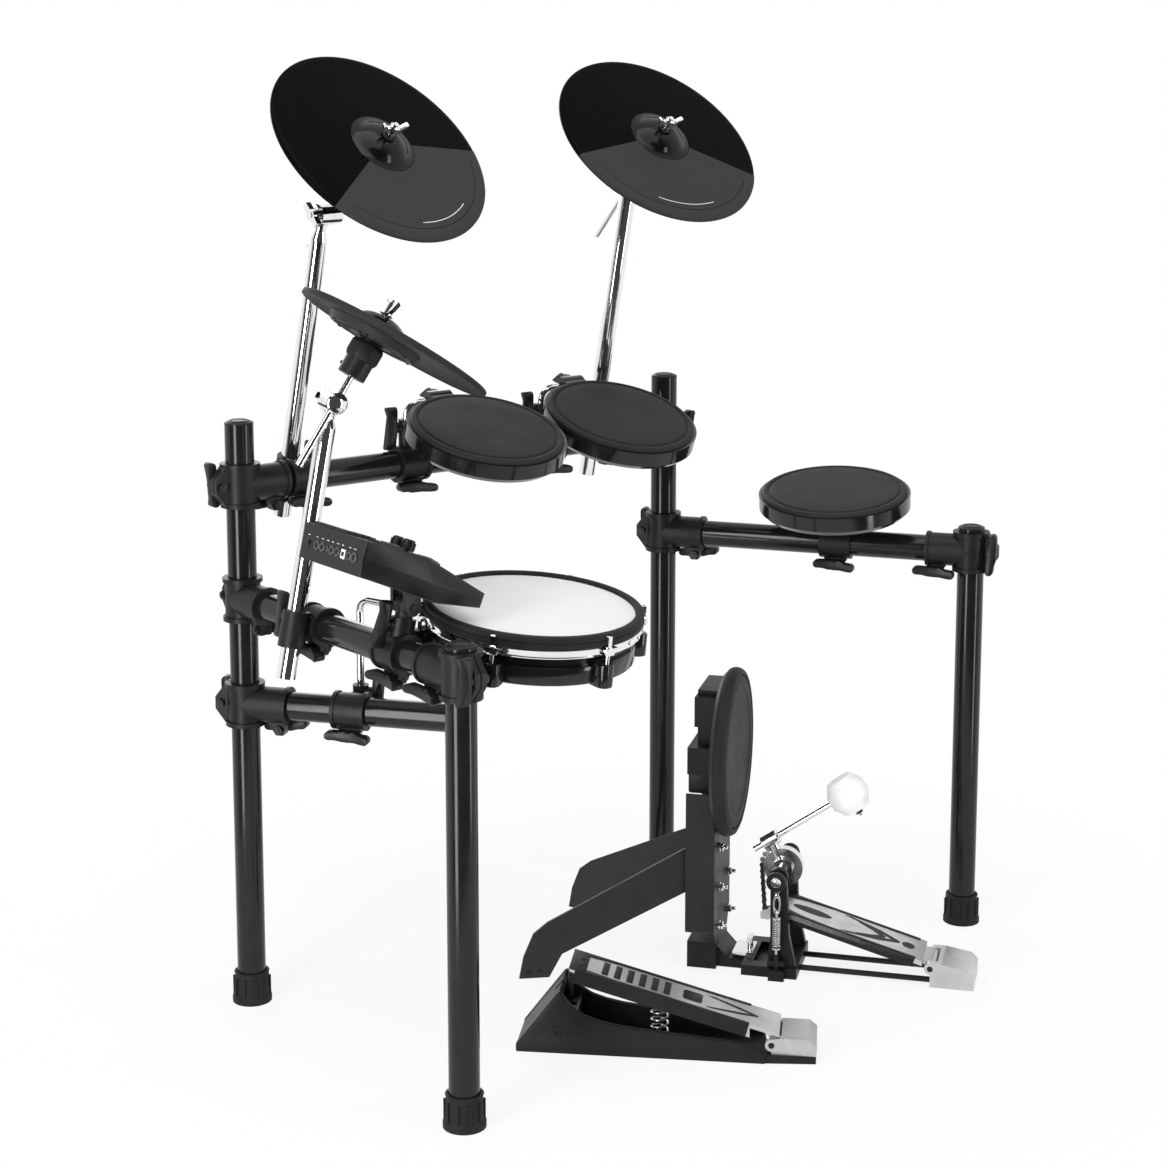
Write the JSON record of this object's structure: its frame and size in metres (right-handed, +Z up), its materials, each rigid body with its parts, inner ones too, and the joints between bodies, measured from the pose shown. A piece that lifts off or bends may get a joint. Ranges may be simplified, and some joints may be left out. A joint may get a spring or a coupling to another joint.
{
  "type": "electronic drum kit",
  "caption": "Electronic drum kit: a plated tube rack carrying tilting cymbal, tom and snare pads and a sound module, with a kick tower and pedals on the floor.",
  "frame": {"origin": "Floor level under the middle of the kit's overall plan box.", "axes": "+Z up, +X to the player's right along the front bar, +Y away from the player."},
  "size_m": [1.0938, 0.6814, 1.2679],
  "materials": {
    "chrome_tube": "polished plated steel tube",
    "black_tube": "satin black painted steel tube",
    "chrome_rod": "polished plated steel rod",
    "black_moulding": "fine-grained moulding",
    "black_bolt": "satin",
    "black_rubber": "matt",
    "pad_rubber": "matt, slightly pebbled",
    "cymbal_rubber": "satin with a gloss bow",
    "gloss_shell": "gloss",
    "mesh": "woven mesh",
    "module_grey": "matt",
    "key_grey": "satin",
    "black_steel": "powder coat",
    "silver_cast": "satin cast",
    "felt": "pressed felt",
    "spring_steel": "plain wire"
  },
  "bodies": {
    "rack": {"posts": "black_tube", "front_bar": "black_tube", "wing_bars": "black_tube", "snare_bar": "black_tube", "tube_caps": "black_moulding", "rubber_feet": "black_rubber", "corner_clamps": "black_moulding", "bar_clamps": "black_moulding", "wing_bolts": "black_bolt", "l_rods": "chrome_rod", "module_post": "black_steel", "tower_plate": "black_steel", "tower_bolts": "chrome_rod", "tower_legs": "black_steel", "tower_base": "black_steel", "kick_pad_shell": "gloss_shell", "kick_pad_rubber": "pad_rubber", "hoop_clamp": "chrome_rod", "pedal_base": "black_steel", "pedal_uprights": "silver_cast", "kick_heel_block": "silver_cast", "radius_rods": "chrome_rod", "hihat_pedal_base": "black_moulding", "hihat_heel_block": "black_moulding", "hihat_spring": "spring_steel", "hinge_pins": "chrome_rod"},
    "kick_footplate": {"kick_footplate": "silver_cast"},
    "pedal_chain": {"pedal_chain": "spring_steel"},
    "pedal_spring": {"pedal_spring": "spring_steel"},
    "beater": {"pedal_axle": "silver_cast", "beater_rod": "chrome_rod", "beater_head": "felt"},
    "hihat_footplate": {"hihat_footplate": "silver_cast", "hihat_toe_block": "black_moulding"},
    "snare": {"snare_shell": "gloss_shell", "snare_hoop": "black_rubber", "snare_head": "mesh", "snare_rods": "chrome_rod"},
    "module": {"module_case": "module_grey", "module_panel": "module_grey"},
    "volume_knob": {"volume_knob": "black_bolt"},
    "menu_dial": {"menu_dial": "black_bolt"},
    "key_1": {"key_1": "key_grey"},
    "key_2": {"key_2": "key_grey"},
    "key_3": {"key_3": "key_grey"},
    "crash_arm": {"crash_arm": "chrome_tube"},
    "crash_boom": {"crash_boom": "chrome_rod"},
    "crash_pad": {"crash_pad": "cymbal_rubber"},
    "ride_arm": {"ride_arm": "chrome_tube"},
    "ride_boom": {"ride_boom": "chrome_rod"},
    "ride_pad": {"ride_pad": "cymbal_rubber"},
    "hihat_arm": {"hihat_arm": "chrome_tube"},
    "hihat_boom": {"hihat_boom": "chrome_rod"},
    "hihat_pad": {"hihat_pad": "cymbal_rubber"},
    "tom1": {"tom1_shell": "gloss_shell", "tom1_rubber": "pad_rubber"},
    "tom2": {"tom2_shell": "gloss_shell", "tom2_rubber": "pad_rubber"},
    "tom3": {"tom3_shell": "gloss_shell", "tom3_rubber": "pad_rubber"}
  },
  "joints": [
    {"name": "crash_height", "type": "slide", "parent": "rack", "child": "crash_arm", "axis": [0, -0.2756, 0.9613], "range_m": [-0.05, 0.03]},
    {"name": "crash_tilt", "type": "hinge", "parent": "crash_arm", "child": "crash_boom", "pos_m": [-0.37285, 0.2106, 1.06674], "axis": [0.987, 0.1609, -0.0009], "range_deg": [-15, 15]},
    {"name": "crash_rock", "type": "hinge", "parent": "crash_boom", "child": "crash_pad", "pos_m": [-0.34172, 0.12732, 1.1477], "axis": [0.987, 0.1609, -0.0009], "range_deg": [-6, 6], "stiffness_Nm_per_rad": 12},
    {"name": "ride_height", "type": "slide", "parent": "rack", "child": "ride_arm", "axis": [0, -0.225, 0.9744], "range_m": [-0.05, 0.03]},
    {"name": "ride_tilt", "type": "hinge", "parent": "ride_arm", "child": "ride_boom", "pos_m": [0.14415, 0.2198, 1.11249], "axis": [1, 0, 0], "range_deg": [-15, 15]},
    {"name": "ride_rock", "type": "hinge", "parent": "ride_boom", "child": "ride_pad", "pos_m": [0.1614, 0.19107, 1.14174], "axis": [1, 0, 0], "range_deg": [-6, 6], "stiffness_Nm_per_rad": 12},
    {"name": "hihat_height", "type": "slide", "parent": "rack", "child": "hihat_arm", "axis": [0.2078, 0.008, 0.9781], "range_m": [-0.05, 0.03]},
    {"name": "hihat_tilt", "type": "hinge", "parent": "hihat_arm", "child": "hihat_boom", "pos_m": [-0.43697, 0.09002, 0.84366], "axis": [-0.1972, -0.9804, 0.0007], "range_deg": [-15, 9]},
    {"name": "hihat_rock", "type": "hinge", "parent": "hihat_boom", "child": "hihat_pad", "pos_m": [-0.39061, 0.06316, 0.92161], "axis": [-0.1972, -0.9804, 0.0007], "range_deg": [-6, 6], "stiffness_Nm_per_rad": 12},
    {"name": "tom1_tilt", "type": "hinge", "parent": "rack", "child": "tom1", "pos_m": [-0.14985, 0.28136, 0.79526], "axis": [1, 0, 0], "range_deg": [-15, 15]},
    {"name": "tom2_tilt", "type": "hinge", "parent": "rack", "child": "tom2", "pos_m": [0.08215, 0.28446, 0.79492], "axis": [1, 0, 0], "range_deg": [-15, 15]},
    {"name": "tom3_tilt", "type": "hinge", "parent": "rack", "child": "tom3", "pos_m": [0.40099, 0.05727, 0.6002], "axis": [0.575, -0.8181, 0], "range_deg": [-10, 12]},
    {"name": "snare_tilt", "type": "hinge", "parent": "rack", "child": "snare", "pos_m": [-0.30318, 0.01829, 0.56], "axis": [0.2506, -0.9681, 0], "range_deg": [-2, 8]},
    {"name": "module_tilt", "type": "hinge", "parent": "rack", "child": "module", "pos_m": [-0.4389, -0.08118, 0.61531], "axis": [0, 1, 0], "range_deg": [-15, 2]},
    {"name": "volume_knob_turn", "type": "hinge", "parent": "module", "child": "volume_knob", "pos_m": [-0.46746, -0.12847, 0.69446], "axis": [0.3499, 0, 0.9368], "range_deg": [-135, 135]},
    {"name": "menu_dial_turn", "type": "hinge", "parent": "module", "child": "menu_dial", "pos_m": [-0.46746, -0.10647, 0.69446], "axis": [0.3499, 0, 0.9368], "continuous": true},
    {"name": "key_1_press", "type": "slide", "parent": "module", "child": "key_1", "axis": [-0.5593, 0, -0.829], "range_m": [0, 0.002], "stiffness_N_per_m": 300},
    {"name": "key_2_press", "type": "slide", "parent": "module", "child": "key_2", "axis": [-0.5593, 0, -0.829], "range_m": [0, 0.002], "stiffness_N_per_m": 300},
    {"name": "key_3_press", "type": "slide", "parent": "module", "child": "key_3", "axis": [-0.5593, 0, -0.829], "range_m": [0, 0.002], "stiffness_N_per_m": 300},
    {"name": "kick_pedal", "type": "hinge", "parent": "rack", "child": "kick_footplate", "pos_m": [0.32535, -0.23044, 0.026], "axis": [-0.7771, -0.6293, 0], "range_deg": [0, 7], "stiffness_Nm_per_rad": 25, "springref_deg": -6.88},
    {"name": "beater_swing", "type": "hinge", "parent": "rack", "child": "beater", "pos_m": [0.1932, -0.06724, 0.144], "axis": [-0.7771, -0.6293, 0], "range_deg": [-1, 55], "deforming": ["pedal_spring"]},
    {"name": "chain_swing", "type": "hinge", "parent": "kick_footplate", "child": "pedal_chain", "pos_m": [0.17683, -0.04704, 0.072], "axis": [-0.7771, -0.6293, 0], "range_deg": [-8, 1]},
    {"name": "spring_swing", "type": "hinge", "parent": "rack", "child": "pedal_spring", "pos_m": [0.14696, -0.10469, 0.036], "axis": [-0.7771, -0.6293, 0], "range_deg": [-8, 1]},
    {"name": "hihat_pedal", "type": "hinge", "parent": "rack", "child": "hihat_footplate", "pos_m": [-0.01291, -0.27732, 0.022], "axis": [-0.6947, -0.7193, 0], "range_deg": [0, 6], "stiffness_Nm_per_rad": 25, "springref_deg": -8.59, "deforming": ["hihat_spring"]}
  ],
  "couplings": [
    {"joint": "beater_swing", "follows": "kick_pedal", "ratio": 7.7143},
    {"joint": "chain_swing", "follows": "kick_pedal", "ratio": -1},
    {"joint": "spring_swing", "follows": "kick_pedal", "ratio": -0.99}
  ]
}
